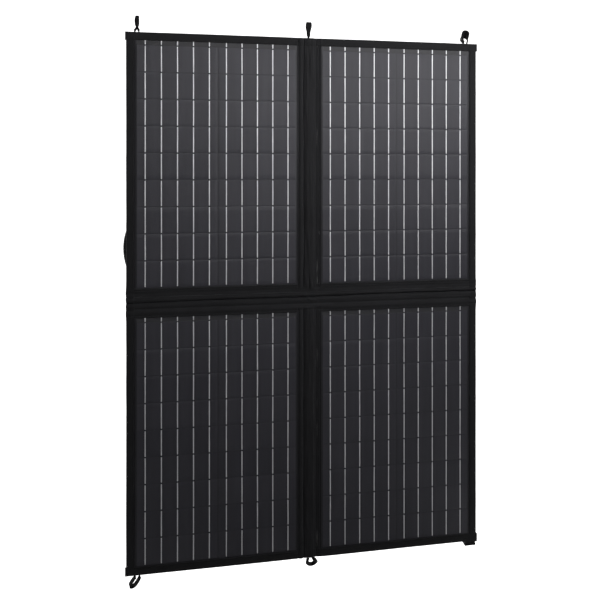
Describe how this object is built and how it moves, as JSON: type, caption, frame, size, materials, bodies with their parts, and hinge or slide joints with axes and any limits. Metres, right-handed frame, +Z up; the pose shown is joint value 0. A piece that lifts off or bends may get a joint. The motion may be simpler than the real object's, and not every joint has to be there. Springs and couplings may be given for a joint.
{
  "type": "folding solar panel kit",
  "caption": "Black cloth solar blanket in a two-by-two grid that folds into a flat carry case, with sewn cell windows, hanging loops, a carry handle and a rear cable pocket.",
  "frame": {"origin": "crossing of the upright and level fold lines, on the plane of the rear cover", "axes": "+X to the right as seen from the solar side, +Z up towards the top hem, the solar faces look along -Y"},
  "size_m": [0.7399, 0.053, 1.1075],
  "materials": {
    "cover_cloth": "matte plain-weave polyester",
    "binding_tape": "matte woven tape",
    "webbing": "ribbed webbing",
    "grip_sleeve": "soft moulded sleeve",
    "solar_laminate": "fine textured film over dark cells",
    "solar_cell": "dark silicon with fine fingers",
    "ribbon": "tinned ribbon",
    "backsheet": "plain",
    "stiffener_board": "plain",
    "zip_metal": "black coated",
    "box_plastic": "fine moulded texture",
    "circuit_board": "solder mask",
    "screw_steel": "plain",
    "lead_insulation": "plain",
    "cable_jacket": "satin",
    "dust_cover_rubber": "matte"
  },
  "bodies": {
    "panel_top_left": {"top_left_front_cover": "cover_cloth", "top_left_rear_cover": "cover_cloth", "top_left_face_film": "solar_laminate", "top_left_cells": "solar_cell", "top_left_ribbons": "ribbon", "top_left_backsheet": "backsheet", "top_left_stiffener": "stiffener_board", "top_left_side_binding": "binding_tape", "top_left_hem_tape": "binding_tape", "handle_anchors": "webbing", "pocket_shell": "cover_cloth", "pocket_zip_tape": "binding_tape", "output_box_base": "box_plastic", "output_box_lid": "box_plastic", "output_box_board": "circuit_board", "output_sockets": "ribbon", "output_box_screws": "screw_steel", "junction_lead": "lead_insulation", "output_cable": "cable_jacket", "output_plug": "box_plastic"},
    "panel_top_right": {"top_right_front_cover": "cover_cloth", "top_right_rear_cover": "cover_cloth", "top_right_face_film": "solar_laminate", "top_right_cells": "solar_cell", "top_right_ribbons": "ribbon", "top_right_backsheet": "backsheet", "top_right_stiffener": "stiffener_board", "top_right_side_binding": "binding_tape", "top_right_hem_tape": "binding_tape"},
    "panel_bottom_left": {"bottom_left_front_cover": "cover_cloth", "bottom_left_rear_cover": "cover_cloth", "bottom_left_face_film": "solar_laminate", "bottom_left_cells": "solar_cell", "bottom_left_ribbons": "ribbon", "bottom_left_backsheet": "backsheet", "bottom_left_stiffener": "stiffener_board", "bottom_left_side_binding": "binding_tape", "bottom_left_hem_tape": "binding_tape"},
    "panel_bottom_right": {"bottom_right_front_cover": "cover_cloth", "bottom_right_rear_cover": "cover_cloth", "bottom_right_face_film": "solar_laminate", "bottom_right_cells": "solar_cell", "bottom_right_ribbons": "ribbon", "bottom_right_backsheet": "backsheet", "bottom_right_stiffener": "stiffener_board", "bottom_right_side_binding": "binding_tape", "bottom_right_hem_tape": "binding_tape"},
    "strip_left": {"fold_strip_left": "cover_cloth"},
    "strip_right": {"fold_strip_right": "cover_cloth"},
    "loop_top_left": {"loop_top_left": "webbing"},
    "loop_top_middle": {"loop_top_middle": "webbing"},
    "loop_top_right": {"loop_top_right": "webbing"},
    "loop_bottom_left": {"loop_bottom_left": "webbing"},
    "loop_bottom_middle": {"loop_bottom_middle": "webbing"},
    "loop_bottom_right": {"loop_bottom_right": "webbing"},
    "carry_handle": {"handle_strap": "webbing", "handle_grip": "grip_sleeve"},
    "zip_slider": {"zip_slider": "zip_metal"},
    "zip_pull": {"zip_pull": "zip_metal"},
    "dust_cover": {"socket_dust_cover": "dust_cover_rubber"}
  },
  "joints": [
    {"name": "fold_v_top", "type": "hinge", "parent": "panel_top_left", "child": "panel_top_right", "pos_m": [0, -0.00725, 0.27], "axis": [0, 0, -1], "range_deg": [0, 180]},
    {"name": "fold_h_upper", "type": "hinge", "parent": "panel_top_left", "child": "strip_left", "pos_m": [-0.18, -0.003, 0.01275], "axis": [-1, 0, 0], "range_deg": [0, 90]},
    {"name": "fold_v_mid", "type": "hinge", "parent": "strip_left", "child": "strip_right", "pos_m": [0, -0.00725, 0], "axis": [0, 0, -1], "range_deg": [0, 180]},
    {"name": "fold_h_lower", "type": "hinge", "parent": "strip_left", "child": "panel_bottom_left", "pos_m": [-0.18, -0.003, -0.01275], "axis": [-1, 0, 0], "range_deg": [0, 90]},
    {"name": "fold_v_bottom", "type": "hinge", "parent": "panel_bottom_left", "child": "panel_bottom_right", "pos_m": [0, -0.00725, -0.27], "axis": [0, 0, -1], "range_deg": [0, 180]},
    {"name": "loop_top_left_lean", "type": "hinge", "parent": "panel_top_left", "child": "loop_top_left", "pos_m": [-0.342, -0.003, 0.5338], "axis": [1, 0, 0], "range_deg": [-30, 50], "stiffness_Nm_per_rad": 0.02},
    {"name": "loop_top_middle_lean", "type": "hinge", "parent": "panel_top_left", "child": "loop_top_middle", "pos_m": [-0.01, -0.003, 0.5338], "axis": [1, 0, 0], "range_deg": [-30, 50], "stiffness_Nm_per_rad": 0.02},
    {"name": "loop_top_right_lean", "type": "hinge", "parent": "panel_top_right", "child": "loop_top_right", "pos_m": [0.342, -0.003, 0.5338], "axis": [1, 0, 0], "range_deg": [-30, 50], "stiffness_Nm_per_rad": 0.02},
    {"name": "loop_bottom_left_lean", "type": "hinge", "parent": "panel_bottom_left", "child": "loop_bottom_left", "pos_m": [-0.342, -0.003, -0.5338], "axis": [-1, 0, 0], "range_deg": [-15, 70], "stiffness_Nm_per_rad": 0.02},
    {"name": "loop_bottom_middle_lean", "type": "hinge", "parent": "panel_bottom_left", "child": "loop_bottom_middle", "pos_m": [-0.01, -0.003, -0.5338], "axis": [-1, 0, 0], "range_deg": [-15, 70], "stiffness_Nm_per_rad": 0.02},
    {"name": "loop_bottom_right_lean", "type": "hinge", "parent": "panel_bottom_right", "child": "loop_bottom_right", "pos_m": [0.342, -0.003, -0.5338], "axis": [-1, 0, 0], "range_deg": [0, 88], "stiffness_Nm_per_rad": 0.02},
    {"name": "handle_swing", "type": "hinge", "parent": "panel_top_left", "child": "carry_handle", "pos_m": [-0.338, 0.0095, 0.105], "axis": [0, 0, 1], "range_deg": [-125, 45]},
    {"name": "zip_travel", "type": "slide", "parent": "panel_top_left", "child": "zip_slider", "axis": [1, 0, 0], "range_m": [0, 0.188]},
    {"name": "zip_pull_swing", "type": "hinge", "parent": "zip_slider", "child": "zip_pull", "pos_m": [-0.276, 0.027, 0.424], "axis": [1, 0, 0], "range_deg": [0, 150]},
    {"name": "dust_cover_lift", "type": "hinge", "parent": "panel_top_left", "child": "dust_cover", "pos_m": [-0.195, 0.0164, 0.3068], "axis": [1, 0, 0], "range_deg": [0, 90], "stiffness_Nm_per_rad": 0.01}
  ],
  "couplings": [
    {"joint": "fold_v_mid", "follows": "fold_v_top", "ratio": 1},
    {"joint": "fold_v_bottom", "follows": "fold_v_top", "ratio": 1}
  ]
}
